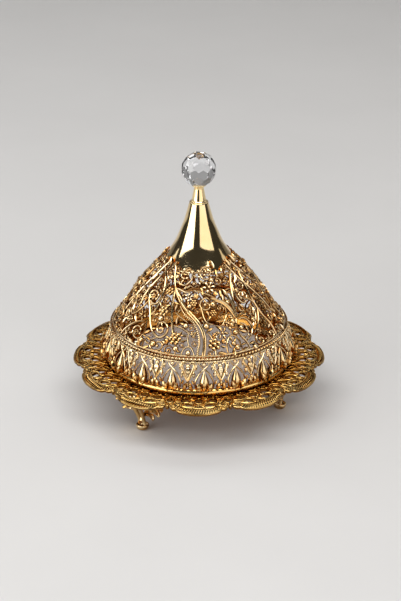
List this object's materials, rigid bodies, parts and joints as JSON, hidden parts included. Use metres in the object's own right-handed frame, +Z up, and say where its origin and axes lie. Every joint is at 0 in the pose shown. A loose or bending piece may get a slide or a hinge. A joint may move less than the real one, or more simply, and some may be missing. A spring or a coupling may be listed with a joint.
{
  "type": "domed serving dish",
  "caption": "Footed round tray with a lobed pierced rim, a loose liner dish and a tall openwork domed lid with a polished cone and a cut crystal ball knob.",
  "frame": {"origin": "on the table, on the upright axis through the middle of the tray", "axes": "+Z up along the axis of tray, dome and ball; -Y towards the front, where the middle of a rim lobe faces the viewer"},
  "size_m": [0.2244, 0.2244, 0.239],
  "materials": {
    "gold_casting": "gold plated, polished relief with darker recesses",
    "gold_polished": "gold plated, mirror polished",
    "crystal": "clear cut glass",
    "liner_glaze": "glossy white glaze",
    "steel": "plain machined"
  },
  "bodies": {
    "base": {"tray": "gold_casting", "foot_left": "gold_casting", "foot_right": "gold_casting", "foot_back": "gold_casting", "foot_screws": "steel"},
    "liner": {"liner_dish": "liner_glaze"},
    "lid": {"lid_band": "gold_casting", "lid_dome": "gold_casting", "dome_rivets": "gold_polished", "cone_cap": "gold_polished", "neck_collar": "gold_polished", "ball_cup": "gold_polished", "crystal_ball": "crystal", "finial_stud": "steel", "clamp_disc": "steel", "clamp_washer": "steel", "clamp_nut": "steel"}
  },
  "joints": [
    {"name": "lid_lift", "type": "slide", "parent": "base", "child": "lid", "axis": [0, 0, 1], "range_m": [0, 0.12]},
    {"name": "liner_lift", "type": "slide", "parent": "base", "child": "liner", "axis": [0, 0, 1], "range_m": [0, 0.03]}
  ]
}
